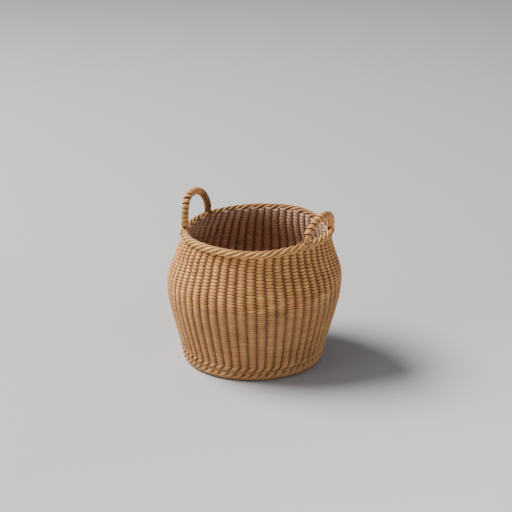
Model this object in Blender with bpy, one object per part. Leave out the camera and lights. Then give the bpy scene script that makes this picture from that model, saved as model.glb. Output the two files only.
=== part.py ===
"""A small round basket of split willow: upright stakes, woven sides, a rope-like rim, a rolled foot
and two wrapped loop handles. Sizes are in metres, the floor is at zero and +Z is up."""

import math

import bmesh
import bpy
import numpy as np
from mathutils import Vector

# Body, measured on the ridges of the side weave
FOOT_RADIUS = 0.0309
BELLY_RADIUS = 0.0400
BELLY_HEIGHT = 0.0375
RIM_RADIUS = 0.0339
RIM_HEIGHT = 0.0612

# Swell from the foot to the belly, and from the belly to the rim: share of the height, share of the swell
LOWER_SWELL_SHARES = ((0.0, 0.0), (0.1, 0.18), (0.26, 0.345), (0.52, 0.645), (0.82, 0.94), (1.0, 1.0))
UPPER_SWELL_SHARES = ((0.0, 1.0), (0.13, 0.985), (0.32, 0.77), (0.54, 0.41), (0.78, 0.14), (1.0, 0.0))

# The hand-made body leans and rises a little towards one side, and its stakes lean round it
LEAN_DIRECTION = math.radians(32.5)
RIM_SHIFT = 0.0013
RIM_RISE = 0.0011
STAKE_LEAN = math.radians(4.0)
# Its neck is pulled in on the other side, and its rim dips at two places
NECK_DEPTH = 0.0067
RIM_PULL = 0.0018
NARROW_DIP_DIRECTION = math.radians(62.0)
NARROW_DIP_REACH = math.radians(30.0)
NARROW_DIP = 0.0014
WIDE_DIP_DIRECTION = math.radians(-57.5)
WIDE_DIP_REACH = math.radians(45.0)
WIDE_DIP = 0.0009

# Room left where two pieces meet
CLEARANCE = 0.0003

# Stakes: flat split rods, each bent round at the foot so that it stands as two neighbours
STAKE_COUNT = 56
STAKE_WIDTH = 0.0011
STAKE_THICKNESS = 0.0008
STAKE_BEND_RADIUS = 0.0303
STAKE_BEND_HEIGHT = 0.0020
STAKE_BEND_RISE = 0.0014

# Side weave
WEAVE_DEPTH = 0.0024
RIB_DEPTH = 0.00045
WEAVE_CHANGE_HEIGHT = 0.0355
LOWER_SPAN_COUNT = 3
BODY_SPAN_COUNT = 3

# Foot: a rolled border with a gutter for the stakes, and a raised course of weave above it
BORDER_TOP = 0.0046
BORDER_WALL = 0.0020
BORDER_ROLL = 0.0009
BORDER_CHAMFER = 0.0003
BORDER_SWELL = 0.0001
WALE_TOP = 0.00775
WALE_SWELL = 0.0004

# Base: a woven disc, ribbed over its spokes, on two crossing layers of split sticks
BASE_THICKNESS = 0.0021
BASE_HUB_RADIUS = 0.0050
BASE_RIB_DEPTH = 0.0006
STICK_COUNT = 4
STICK_WIDTH = 0.0022
STICK_THICKNESS = 0.00085
STICK_PITCH = 0.0036
STICK_FLAT_SHARE = 0.67

# Rim border, and the gap below it that the lashings pass through
RIM_HALF_WIDTH = 0.00175
RIM_HALF_HEIGHT = 0.00175
LASHING_GAP = 0.0010
RIM_POINT_COUNT = 8

# Handles: bows of round rod whose thinned ends are pushed down into the side weave
BOW_RADIUS = 0.0008
PEG_RADIUS = 0.0004
PEG_DEPTH = NECK_DEPTH
PEG_NECK_HEIGHT = 0.0016
PEG_POINT_COUNT = 3
BOW_SIDE_COUNT = 6
BOW_SPAN_COUNT = 16
ARCH_ROUNDNESS_SHARE = 0.88
NEAR_HANDLE_COLUMNS = (-3, 3)
NEAR_HANDLE_RISE = 0.0100
NEAR_HANDLE_LEAN = math.radians(8.0)
NEAR_HANDLE_SKEW = 0.0021
FAR_HANDLE_COLUMNS = (26, 33)
FAR_HANDLE_RISE = 0.0166
FAR_HANDLE_LEAN = math.radians(-2.0)
FAR_HANDLE_SKEW = 0.0062

# Wrap: one flat skein wound round each bow, with open turns
WRAP_PITCH = 0.00237
WRAP_WIDTH = 0.00138
WRAP_THICKNESS = 0.00045
WRAP_POINT_COUNT = 12
WRAP_START_HEIGHT = 0.0046
FINE_STEP_COUNT = 600

# Lashings: one flat skein round the rim and each foot of a bow
LASHING_WIDTH = 0.0014
LASHING_THICKNESS = 0.0004
LASHING_CROSS_HEIGHT = 0.0033
# Places on a quarter of the lashing: share of a column along the rim, share of the reach outward and upward
LASHING_SHARES = (
    (1.0, 0.0, -1.0),
    (1.0, 0.68, -0.72),
    (0.92, 0.98, -0.2),
    (0.68, 0.98, 0.38),
    (0.34, 0.84, 0.98),
)

# Colours as red, green, blue, and how rough the split wood is
SKEIN_COLOR = (0.42, 0.235, 0.115)
PALE_SKEIN_COLOR = (0.50, 0.29, 0.15)
STAKE_COLOR = (0.26, 0.13, 0.06)
BASE_COLOR = (0.30, 0.16, 0.075)
SKEIN_ROUGHNESS = 0.62
STAKE_ROUGHNESS = 0.72
SHARP_ANGLE = math.radians(50.0)

COLUMN_STEP = math.tau / STAKE_COUNT
NECK_HEIGHT = RIM_HEIGHT - NECK_DEPTH
WEAVE_FOOT = WALE_TOP + CLEARANCE
WEAVE_TOP = RIM_HEIGHT - RIM_HALF_HEIGHT - LASHING_GAP
STAKE_TOP = RIM_HEIGHT - RIM_HALF_HEIGHT - CLEARANCE
SLOT_HALF_WIDTH = STAKE_WIDTH / 2 + CLEARANCE
SLOT_HALF_DEPTH = STAKE_THICKNESS / 2 + CLEARANCE


def clear_scene():
    for obj in list(bpy.data.objects):
        bpy.data.objects.remove(obj, do_unlink=True)


def make_material(name, color, roughness):
    material = bpy.data.materials.new(name)
    material.use_nodes = True
    shader = material.node_tree.nodes["Principled BSDF"]
    shader.inputs["Base Color"].default_value = (*color, 1.0)
    shader.inputs["Roughness"].default_value = roughness
    shader.inputs["Metallic"].default_value = 0.0
    material.diffuse_color = (*color, 1.0)
    return material


def add_piece(name, points, faces, material):
    """One closed solid as its own object, with its faces turned outward."""
    mesh = bpy.data.meshes.new(name)
    mesh.from_pydata([tuple(point) for point in points], [], faces)
    work = bmesh.new()
    work.from_mesh(mesh)
    bmesh.ops.recalc_face_normals(work, faces=work.faces)
    work.to_mesh(mesh)
    work.free()
    mesh.materials.append(material)
    mesh.shade_smooth()
    mesh.set_sharp_from_angle(angle=SHARP_ANGLE)
    piece = bpy.data.objects.new(name, mesh)
    bpy.context.scene.collection.objects.link(piece)
    return piece


def skin(name, sections, material, closed=False):
    """A solid through a row of sections with equal point counts, capped at its ends or joined round."""
    size = len(sections[0])
    count = len(sections)
    points = [point for section in sections for point in section]
    faces = []
    for row in range(count if closed else count - 1):
        here = row * size
        after = (row + 1) % count * size
        for corner in range(size):
            beside = (corner + 1) % size
            faces.append((here + corner, here + beside, after + beside, after + corner))
    if not closed:
        faces.append(tuple(range(size)))
        faces.append(tuple((count - 1) * size + corner for corner in range(size)))
    return add_piece(name, points, faces, material)


def dip_share(angle, direction, reach):
    """One in the middle of a dip of the rim, easing to zero at its reach."""
    off = min(abs(angle - direction) / reach, 1)
    return math.cos(off * math.pi / 2) ** 2


def settled(x, y, height):
    """A point of the ideal round body moved to where the leaning body has it."""
    share = height / RIM_HEIGHT
    neck_share = min(max((height - NECK_HEIGHT) / NECK_DEPTH, 0), 1)
    along = (x * math.cos(LEAN_DIRECTION) + y * math.sin(LEAN_DIRECTION)) / RIM_RADIUS
    shift = RIM_SHIFT * share + RIM_PULL * neck_share * (1 - along) / 2
    angle = math.atan2(y, x)
    dip = NARROW_DIP * dip_share(angle, NARROW_DIP_DIRECTION, NARROW_DIP_REACH)
    dip += WIDE_DIP * dip_share(angle, WIDE_DIP_DIRECTION, WIDE_DIP_REACH)
    return Vector((
        x + shift * math.cos(LEAN_DIRECTION),
        y + shift * math.sin(LEAN_DIRECTION),
        height + RIM_RISE * share * along - dip * share ** 3,
    ))


def placed(radius, angle, height):
    return settled(radius * math.cos(angle), radius * math.sin(angle), height)


def table_value(shares, share):
    return float(np.interp(share, [row[0] for row in shares], [row[1] for row in shares]))


def ridge_radius(height):
    """Radius of the ridges of the weave at a height."""
    if height <= BELLY_HEIGHT:
        swell = table_value(LOWER_SWELL_SHARES, height / BELLY_HEIGHT)
        return FOOT_RADIUS + (BELLY_RADIUS - FOOT_RADIUS) * swell
    swell = table_value(UPPER_SWELL_SHARES, (height - BELLY_HEIGHT) / (RIM_HEIGHT - BELLY_HEIGHT))
    return RIM_RADIUS + (BELLY_RADIUS - RIM_RADIUS) * swell


def stake_radius(height):
    """Middle of the stakes: inside the weave, then drawn in below it to the bend at the foot."""
    in_weave = ridge_radius(max(height, WEAVE_FOOT)) - WEAVE_DEPTH / 2
    if height >= WEAVE_FOOT:
        return in_weave
    share = max(height - STAKE_BEND_HEIGHT, 0) / (WEAVE_FOOT - STAKE_BEND_HEIGHT)
    return STAKE_BEND_RADIUS + (in_weave - STAKE_BEND_RADIUS) * share


def column_lean(height):
    return STAKE_LEAN * (1 - height / RIM_HEIGHT)


def stake_angle(column, height):
    return (column + 0.5) * COLUMN_STEP + column_lean(height)


def valley_angle(column, height):
    return column * COLUMN_STEP + column_lean(height)


def flat_section(center, along, outward, half_width, half_thickness):
    """Four corners of a flat strip: outward is its face, and its width lies across its run."""
    across = along.cross(outward).normalized()
    face = across.cross(along).normalized()
    return [
        center - across * half_width - face * half_thickness,
        center + across * half_width - face * half_thickness,
        center + across * half_width + face * half_thickness,
        center - across * half_width + face * half_thickness,
    ]


def run_direction(points, index, closed=False):
    count = len(points)
    if closed:
        return (points[(index + 1) % count] - points[index - 1]).normalized()
    return (points[min(index + 1, count - 1)] - points[max(index - 1, 0)]).normalized()


def evenly(start, end, spans):
    return [start + (end - start) * step / spans for step in range(spans + 1)]


def lower_levels():
    return evenly(WEAVE_FOOT, WEAVE_CHANGE_HEIGHT - CLEARANCE / 2, LOWER_SPAN_COUNT)


def upper_levels():
    return evenly(WEAVE_CHANGE_HEIGHT + CLEARANCE / 2, NECK_HEIGHT, BODY_SPAN_COUNT) + [WEAVE_TOP]


def weave_ring(column, height):
    """One column of the weave at one level: valley, ridge, inner face, and its stake's slot corners."""
    ridge = ridge_radius(height)
    middle = stake_radius(height)
    stake = stake_angle(column, height)
    valley = valley_angle(column, height)
    points = [
        placed(ridge - RIB_DEPTH, valley, height),
        placed(ridge, stake, height),
        placed(ridge - WEAVE_DEPTH, valley, height),
    ]
    for side, depth in ((-1, 1), (1, 1), (1, -1), (-1, -1)):
        angle = stake + side * SLOT_HALF_WIDTH / middle
        points.append(placed(middle + depth * SLOT_HALF_DEPTH, angle, height))
    return points


def weave_cap(first, second):
    """Faces that close one column between the valleys either side of it, round its stake's slot."""
    valley, ridge, inner, left_out, right_out, right_in, left_in = first
    next_valley, next_inner = second[0], second[2]
    return [
        (valley, ridge, left_out),
        (ridge, right_out, left_out),
        (ridge, next_valley, right_out),
        (next_valley, next_inner, right_in, right_out),
        (next_inner, inner, left_in, right_in),
        (inner, valley, left_out, left_in),
    ]


def make_weave(name, levels, material):
    """A band of side weave: ribbed outside, one slot through it for each stake."""
    points = []
    index = []
    for height in levels:
        row = []
        for column in range(STAKE_COUNT):
            ring = weave_ring(column, height)
            row.append(list(range(len(points), len(points) + len(ring))))
            points.extend(ring)
        index.append(row)
    faces = []
    for lower, upper in zip(index, index[1:]):
        for column in range(STAKE_COUNT):
            here, above = lower[column], upper[column]
            beside, beside_above = lower[(column + 1) % STAKE_COUNT], upper[(column + 1) % STAKE_COUNT]
            faces.append((here[0], here[1], above[1], above[0]))
            faces.append((here[1], beside[0], beside_above[0], above[1]))
            faces.append((beside[2], here[2], above[2], beside_above[2]))
            for corner, following in ((3, 4), (4, 5), (5, 6), (6, 3)):
                faces.append((here[following], here[corner], above[corner], above[following]))
    for row in (index[0], index[-1]):
        for column in range(STAKE_COUNT):
            faces.extend(weave_cap(row[column], row[(column + 1) % STAKE_COUNT]))
    return add_piece(name, points, faces, material)


def make_turned(name, outline, material):
    """A ring round the basket from an outline of radius and height."""
    sections = []
    for column in range(STAKE_COUNT):
        angle = column * COLUMN_STEP
        sections.append([placed(radius, angle, height) for radius, height in outline])
    return skin(name, sections, material, closed=True)


def make_stake_pair(number, material):
    """One rod: down one column, round under the weave, and up the next column."""
    levels = [STAKE_TOP]
    levels += reversed(upper_levels()[1:])
    levels.append(WEAVE_CHANGE_HEIGHT)
    levels += reversed(lower_levels()[:-1])
    levels.append(STAKE_BEND_HEIGHT + STAKE_BEND_RISE)
    columns = (2 * number, 2 * number + 1)
    run = [(stake_angle(columns[0], level), level) for level in levels]
    bend_angles = [stake_angle(column, STAKE_BEND_HEIGHT) for column in columns]
    inset = STAKE_BEND_RISE / 2 / STAKE_BEND_RADIUS
    run.append((bend_angles[0] + inset, STAKE_BEND_HEIGHT))
    run.append((bend_angles[1] - inset, STAKE_BEND_HEIGHT))
    run += [(stake_angle(columns[1], level), level) for level in reversed(levels)]
    points = [placed(stake_radius(level), angle, level) for angle, level in run]
    sections = []
    for index, (angle, _) in enumerate(run):
        outward = Vector((math.cos(angle), math.sin(angle), 0))
        along = run_direction(points, index)
        sections.append(flat_section(points[index], along, outward, STAKE_WIDTH / 2, STAKE_THICKNESS / 2))
    return skin(f"stake_pair_{number + 1:02d}", sections, material)


def make_foot_border(material):
    """The rolled lower edge: flat where it stands, with a gutter on top for the bends of the stakes."""
    floor = STAKE_BEND_HEIGHT - STAKE_THICKNESS / 2 - CLEARANCE
    inner = STAKE_BEND_RADIUS - SLOT_HALF_DEPTH - BORDER_WALL
    outer = ridge_radius(BORDER_TOP) - BORDER_SWELL
    roll = ridge_radius(BORDER_ROLL)
    outline = (
        (inner + BORDER_CHAMFER, 0),
        (FOOT_RADIUS - BORDER_CHAMFER, 0),
        (roll, BORDER_ROLL),
        (outer, (BORDER_ROLL + BORDER_TOP) / 2),
        (outer, BORDER_TOP),
        (stake_radius(BORDER_TOP) + SLOT_HALF_DEPTH, BORDER_TOP),
        (stake_radius(floor) + SLOT_HALF_DEPTH, floor),
        (stake_radius(floor) - SLOT_HALF_DEPTH, floor),
        (stake_radius(BORDER_TOP) - SLOT_HALF_DEPTH, BORDER_TOP),
        (inner, BORDER_TOP),
    )
    return make_turned("foot_border", outline, material)


def make_foot_wale(material):
    """The raised course outside the stakes, just above the foot border."""
    bottom = BORDER_TOP + CLEARANCE
    middle = (bottom + WALE_TOP) / 2
    outline = (
        (stake_radius(bottom) + SLOT_HALF_DEPTH, bottom),
        (ridge_radius(bottom), bottom),
        (ridge_radius(middle) + WALE_SWELL, middle),
        (ridge_radius(WALE_TOP) + WALE_SWELL / 2, WALE_TOP),
        (stake_radius(WALE_TOP) + SLOT_HALF_DEPTH, WALE_TOP),
    )
    return make_turned("foot_wale", outline, material)


def make_base_weave(material):
    """The woven floor inside the stakes: a flat hub, and ribs out to its edge over one spoke for each rod."""
    bottom = BORDER_TOP + CLEARANCE
    top = bottom + BASE_THICKNESS
    edge = stake_radius(bottom) - SLOT_HALF_DEPTH
    outline = (
        (BASE_HUB_RADIUS, bottom, 0),
        (edge, bottom, BASE_RIB_DEPTH),
        (edge, top, -BASE_RIB_DEPTH),
        (BASE_HUB_RADIUS, top, 0),
    )
    sections = []
    for radius, height, valley in outline:
        section = []
        for column in range(STAKE_COUNT):
            level = height if column % 2 else height + valley
            section.append(placed(radius, column * COLUMN_STEP, level))
        sections.append(section)
    return skin("base_weave", sections, material)


def make_base_stick(name, row, top, direction, material):
    """One half-round split stick of the base cross, flat side up, ending just inside the foot border."""
    room = STAKE_BEND_RADIUS - SLOT_HALF_DEPTH - BORDER_WALL - CLEARANCE
    offset = (row - (STICK_COUNT - 1) / 2) * STICK_PITCH
    corner = abs(offset) + STICK_WIDTH / 2
    reach = math.sqrt(room ** 2 - corner ** 2) - CLEARANCE
    half = STICK_WIDTH / 2
    narrow = half * STICK_FLAT_SHARE
    outline = ((-half, 0), (half, 0), (narrow, -STICK_THICKNESS), (-narrow, -STICK_THICKNESS))
    sections = []
    for end in (-reach, reach):
        section = []
        for across, up in outline:
            along_x = end if direction == "x" else offset + across
            along_y = offset + across if direction == "x" else end
            section.append(settled(along_x, along_y, top + up))
        sections.append(section)
    return skin(name, sections, material)


def make_rim(material):
    """The rope-like border that closes the top."""
    outline = []
    for step in range(RIM_POINT_COUNT):
        turn = math.tau * step / RIM_POINT_COUNT
        radius = RIM_RADIUS + RIM_HALF_WIDTH * math.cos(turn)
        outline.append((radius, RIM_HEIGHT + RIM_HALF_HEIGHT * math.sin(turn)))
    return make_turned("rim_border", outline, material)


class Handle:
    """One bow: an arch between two feet on the rim, with a thinned end below each foot."""

    def __init__(self, name, columns, rise, lean, skew):
        self.name = name
        self.columns = columns
        self.rise = rise
        self.skew = skew
        feet = []
        for column in self.columns:
            angle = valley_angle(column, RIM_HEIGHT)
            feet.append(Vector((RIM_RADIUS * math.cos(angle), RIM_RADIUS * math.sin(angle), RIM_HEIGHT)))
        self.center = (feet[0] + feet[1]) / 2
        self.half_chord = (feet[1] - feet[0]) / 2
        outward = self.center.copy()
        outward.z = 0
        outward.normalize()
        self.up = Vector((0, 0, math.cos(lean))) + outward * math.sin(lean)

    def ideal_point(self, turn):
        """Point of the arch on the ideal round body, from one foot at zero to the other at half a turn."""
        across = math.copysign(abs(math.cos(turn)) ** ARCH_ROUNDNESS_SHARE, math.cos(turn))
        over = abs(math.sin(turn)) ** ARCH_ROUNDNESS_SHARE
        slide = self.half_chord.normalized() * self.skew * over ** 2
        return self.center - self.half_chord * across + self.up * self.rise * over + slide

    def arch_point(self, turn):
        return settled(*self.ideal_point(turn))

    def plane_normal(self):
        start = self.arch_point(0)
        return (self.arch_point(math.pi) - start).cross(self.arch_point(math.pi / 2) - start).normalized()

    def peg_point(self, column, depth):
        """Point of a thinned end, in the valley between two stakes."""
        height = RIM_HEIGHT - depth
        radius = ridge_radius(height) - (RIB_DEPTH + WEAVE_DEPTH) / 2
        return placed(radius, valley_angle(column, height), height)

    def route(self, peg_extra=0.0):
        """Points and radii along the whole bow."""
        depths = evenly(PEG_DEPTH + peg_extra, RIM_HEIGHT - WEAVE_TOP, PEG_POINT_COUNT - 1)
        rising = [(self.peg_point(self.columns[0], depth), PEG_RADIUS) for depth in depths]
        falling = [(self.peg_point(self.columns[1], depth), PEG_RADIUS) for depth in reversed(depths)]
        arch = []
        for step in range(BOW_SPAN_COUNT + 1):
            point = self.arch_point(math.pi * step / BOW_SPAN_COUNT)
            share = min(max((point.z - self.center.z) / PEG_NECK_HEIGHT, 0), 1)
            arch.append((point, PEG_RADIUS + (BOW_RADIUS - PEG_RADIUS) * (1 + share) / 2))
        return rising + arch + falling

    def sections(self, route, extra=0.0):
        points = [point for point, _ in route]
        normal = self.plane_normal()
        sections = []
        for index, (point, radius) in enumerate(route):
            along = run_direction(points, index)
            side = normal.cross(along).normalized()
            level = along.cross(side)
            section = []
            for step in range(BOW_SIDE_COUNT):
                turn = math.tau * step / BOW_SIDE_COUNT
                section.append(point + (side * math.cos(turn) + level * math.sin(turn)) * (radius + extra))
            sections.append(section)
        return sections

    def fine_arch(self):
        return [self.arch_point(math.pi * step / FINE_STEP_COUNT) for step in range(FINE_STEP_COUNT + 1)]


def make_sockets(handle):
    """Cutters round the two feet of a bow, which open the rim and the side weave for them."""
    route = handle.route(CLEARANCE)
    foot_points = PEG_POINT_COUNT + BOW_SPAN_COUNT // 4
    cutters = []
    for end, part in (("a", route[:foot_points]), ("b", route[-foot_points:])):
        sections = handle.sections(part, CLEARANCE)
        cutter = skin(f"socket_{handle.name}_{end}", sections, None)
        cutter.hide_render = True
        cutter.display_type = "WIRE"
        cutters.append(cutter)
    return cutters


def cut_with(piece, cutters):
    for cutter in cutters:
        cut = piece.modifiers.new(cutter.name, "BOOLEAN")
        cut.operation = "DIFFERENCE"
        cut.solver = "EXACT"
        cut.object = cutter


def make_wrap(handle, material):
    """One flat skein wound round the bow from foot to foot, and the least gap between its turns."""
    fine = handle.fine_arch()
    first = next(i for i, point in enumerate(fine) if point.z - fine[0].z > WRAP_START_HEIGHT)
    left_out = next(i for i, point in enumerate(fine[::-1]) if point.z - fine[-1].z > WRAP_START_HEIGHT)
    path = fine[first:len(fine) - left_out]
    lengths = np.concatenate(([0], np.cumsum([(b - a).length for a, b in zip(path, path[1:])])))
    turns = round(lengths[-1] / WRAP_PITCH)
    steps = turns * WRAP_POINT_COUNT
    coordinates = np.array([tuple(point) for point in path])
    normal = handle.plane_normal()
    reach = BOW_RADIUS + CLEARANCE + WRAP_THICKNESS / 2
    centers, outwards = [], []
    for step in range(steps + 1):
        distance = lengths[-1] * step / steps
        center = Vector([np.interp(distance, lengths, coordinates[:, axis]) for axis in range(3)])
        index = min(int(np.searchsorted(lengths, distance)), len(path) - 2)
        along = (path[index + 1] - path[max(index - 1, 0)]).normalized()
        side = normal.cross(along).normalized()
        turn = math.tau * step / WRAP_POINT_COUNT
        outward = side * math.cos(turn) + along.cross(side) * math.sin(turn)
        centers.append(center + outward * reach)
        outwards.append(outward)
    sections = []
    for index, outward in enumerate(outwards):
        along = run_direction(centers, index)
        sections.append(flat_section(centers[index], along, outward, WRAP_WIDTH / 2, WRAP_THICKNESS / 2))
    print(f"{handle.name} wrap: {turns} turns, least gap {least_gap(sections) * 1000:.2f} mm")
    return skin(f"handle_wrap_{handle.name}", sections, material)


def least_gap(sections):
    """Least distance between corners of the skein that lie half a turn or more apart along it."""
    corners = np.array([[tuple(point) for point in section] for section in sections])
    least = math.inf
    for index in range(len(corners)):
        later = corners[index + WRAP_POINT_COUNT // 2:].reshape(-1, 3)
        if len(later):
            apart = np.linalg.norm(corners[index][:, None] - later[None], axis=2)
            least = min(least, float(apart.min()))
    return least


def make_lashing(name, handle, column, foot_turn, material):
    """One flat skein, closed round the rim either side of a bow's foot and crossed over the foot."""
    fine = handle.fine_arch()
    if foot_turn:
        fine.reverse()
    crossing = next(point for point in fine if point.z - fine[0].z > LASHING_CROSS_HEIGHT)
    angle = valley_angle(column, RIM_HEIGHT)
    outward = Vector((math.cos(angle), math.sin(angle), 0))
    reach = RIM_HALF_WIDTH + CLEARANCE + LASHING_THICKNESS / 2
    drop = RIM_HALF_HEIGHT + LASHING_GAP / 2
    clear = BOW_RADIUS + CLEARANCE + LASHING_THICKNESS / 2

    def quarter(side, face):
        """Places from below the rim to beside the foot, on one side of the foot and one face of the rim."""
        found = []
        for along_share, out_share, up_share in LASHING_SHARES:
            lift = drop if up_share < 0 else reach
            height = RIM_HEIGHT + lift * up_share
            beside = angle + side * along_share * COLUMN_STEP
            place = placed(RIM_RADIUS + face * reach * out_share, beside, height)
            turned = outward * (face * out_share) + Vector((0, 0, min(up_share, 0)))
            found.append((place, turned))
        return found

    cross_out = (crossing + outward * clear, outward)
    cross_in = (crossing - outward * clear, -outward)
    loop = quarter(1, 1) + [cross_out] + quarter(-1, 1)[::-1]
    loop += quarter(-1, -1)[1:] + [cross_in] + quarter(1, -1)[:0:-1]
    points = [place for place, _ in loop]
    sections = []
    for index, (place, turned) in enumerate(loop):
        along = run_direction(points, index, closed=True)
        sections.append(flat_section(place, along, turned, LASHING_WIDTH / 2, LASHING_THICKNESS / 2))
    return skin(name, sections, material, closed=True)


def center_on_origin(pieces):
    """Hangs every piece on one empty that brings the middle of the basket's outline over the origin."""
    corners = np.array([tuple(vertex.co) for piece in pieces for vertex in piece.data.vertices])
    middle = (corners.min(axis=0) + corners.max(axis=0)) / 2
    stand = bpy.data.objects.new("basket", None)
    bpy.context.scene.collection.objects.link(stand)
    stand.location = (-middle[0], -middle[1], 0)
    for piece in bpy.data.objects:
        if piece is not stand:
            piece.parent = stand


def main():
    clear_scene()
    skein = make_material("split willow skein", SKEIN_COLOR, SKEIN_ROUGHNESS)
    fine_skein = make_material("fine split willow skein", SKEIN_COLOR, SKEIN_ROUGHNESS)
    pale_skein = make_material("pale split willow skein", PALE_SKEIN_COLOR, SKEIN_ROUGHNESS)
    stake_wood = make_material("willow stake", STAKE_COLOR, STAKE_ROUGHNESS)
    base_wood = make_material("willow base", BASE_COLOR, STAKE_ROUGHNESS)

    pieces = [
        make_weave("side_weave_lower", lower_levels(), fine_skein),
        make_foot_border(skein),
        make_foot_wale(skein),
        make_base_weave(base_wood),
    ]
    for number in range(STAKE_COUNT // 2):
        pieces.append(make_stake_pair(number, stake_wood))
    top = BORDER_TOP
    for layer, direction in (("upper", "x"), ("lower", "y")):
        for row in range(STICK_COUNT):
            pieces.append(make_base_stick(f"base_stick_{layer}_{row + 1}", row, top, direction, base_wood))
        top -= STICK_THICKNESS + CLEARANCE

    handles = (
        Handle("near", NEAR_HANDLE_COLUMNS, NEAR_HANDLE_RISE, NEAR_HANDLE_LEAN, NEAR_HANDLE_SKEW),
        Handle("far", FAR_HANDLE_COLUMNS, FAR_HANDLE_RISE, FAR_HANDLE_LEAN, FAR_HANDLE_SKEW),
    )
    upper_weave = make_weave("side_weave_upper", upper_levels(), skein)
    rim = make_rim(pale_skein)
    for handle in handles:
        sockets = make_sockets(handle)
        cut_with(upper_weave, sockets)
        cut_with(rim, sockets)
        pieces.append(skin(f"handle_bow_{handle.name}", handle.sections(handle.route()), stake_wood))
        pieces.append(make_wrap(handle, pale_skein))
        for end in (0, 1):
            name = f"handle_lashing_{handle.name}_{end + 1}"
            pieces.append(make_lashing(name, handle, handle.columns[end], end, pale_skein))
    pieces += [upper_weave, rim]
    center_on_origin(pieces)


main()
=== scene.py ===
"""The looks of the small split willow basket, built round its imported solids.
Lengths are in metres, the floor is at zero and +Z is up. A column is the place of one stake, counted
round the body, and a row is one course of skein, counted up the wall."""

import math

import bpy
import numpy as np
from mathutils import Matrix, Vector


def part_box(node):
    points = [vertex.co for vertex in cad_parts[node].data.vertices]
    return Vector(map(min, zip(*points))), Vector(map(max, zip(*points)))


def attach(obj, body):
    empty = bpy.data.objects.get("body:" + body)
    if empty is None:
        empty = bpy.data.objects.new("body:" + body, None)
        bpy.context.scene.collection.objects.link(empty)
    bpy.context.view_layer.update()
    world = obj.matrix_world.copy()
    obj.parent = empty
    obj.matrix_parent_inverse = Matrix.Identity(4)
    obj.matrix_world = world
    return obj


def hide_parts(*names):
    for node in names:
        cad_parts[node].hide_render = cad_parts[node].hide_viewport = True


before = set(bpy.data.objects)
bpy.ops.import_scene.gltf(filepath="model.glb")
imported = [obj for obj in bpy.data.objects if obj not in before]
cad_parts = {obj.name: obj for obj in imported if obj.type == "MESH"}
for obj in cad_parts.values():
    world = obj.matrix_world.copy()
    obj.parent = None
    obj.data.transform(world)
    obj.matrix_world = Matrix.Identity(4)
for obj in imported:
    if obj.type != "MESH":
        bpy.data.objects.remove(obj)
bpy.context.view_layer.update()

# The body, as the solids have it
FOOT_RADIUS = 0.0309
BELLY_RADIUS = 0.0400
BELLY_HEIGHT = 0.0375
RIM_RADIUS = 0.0339
RIM_HEIGHT = 0.0612
LOWER_SWELL_SHARES = ((0.0, 0.0), (0.1, 0.18), (0.26, 0.345), (0.52, 0.645), (0.82, 0.94), (1.0, 1.0))
UPPER_SWELL_SHARES = ((0.0, 1.0), (0.13, 0.985), (0.32, 0.77), (0.54, 0.41), (0.78, 0.14), (1.0, 0.0))
OUTLINE_ROUNDING = 0.0022
OUTLINE_SAMPLE_COUNT = 9
LEAN_DIRECTION = math.radians(32.5)
RIM_SHIFT = 0.0013
RIM_RISE = 0.0011
STAKE_LEAN = math.radians(4.0)
NECK_DEPTH = 0.0067
RIM_PULL = 0.0018
NARROW_DIP_DIRECTION = math.radians(62.0)
NARROW_DIP_REACH = math.radians(30.0)
NARROW_DIP = 0.0014
WIDE_DIP_DIRECTION = math.radians(-57.5)
WIDE_DIP_REACH = math.radians(45.0)
WIDE_DIP = 0.0009
STAKE_COUNT = 56
STAKE_BEND_RADIUS = 0.0303
STAKE_BEND_HEIGHT = 0.0020
WEAVE_DEPTH = 0.0024
WEAVE_FOOT = 0.00805
WEAVE_CHANGE_HEIGHT = 0.0355
WIDEST_HEIGHT = 0.03565
WEAVE_TOP = 0.05845
RIM_HALF_WIDTH = 0.00175
RIM_HALF_HEIGHT = 0.00175
COLUMN_STEP = math.tau / STAKE_COUNT
INNER_EASE = WEAVE_DEPTH / 4

# Side weave: two skeins run up the wall side by side, each one row above the other
LOWER_ROW_COUNT = 56
UPPER_ROW_COUNT = 34
ROWS_BELOW_COUNT = 2
ROWS_ABOVE_COUNT = 3
CHANGE_ROW_COUNT = 2
ROW_GROWTH_SHARES = (0.02, 0.10)
FINE_THICKNESS = 0.00044
COARSE_THICKNESS = 0.00070
CROSSING_SHARE = 0.72
FINE_SPREAD_SHARE = 0.24
COARSE_SPREAD_SHARE = 0.27
INSIDE_SPREAD_SHARE = 0.32
SPREAD_CURVE = 1.4
FINE_SQUARENESS = 0.62
COARSE_SQUARENESS = 0.64
INSIDE_SQUARENESS = 0.60
FINE_WAVE_CURVE = 0.70
COARSE_WAVE_CURVE = 0.88
INSIDE_WAVE_CURVE = 0.66
STEPS_PER_COLUMN = 8
FIRST_COLUMN = 19
FINE_SHADE_SHARE = 0.42
COARSE_SHADE_SHARE = 0.58
SHADE_CURVE = 1.25
# Share of the painted edge shade that a bead keeps at its crest
CREST_LINED = 0.86

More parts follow.
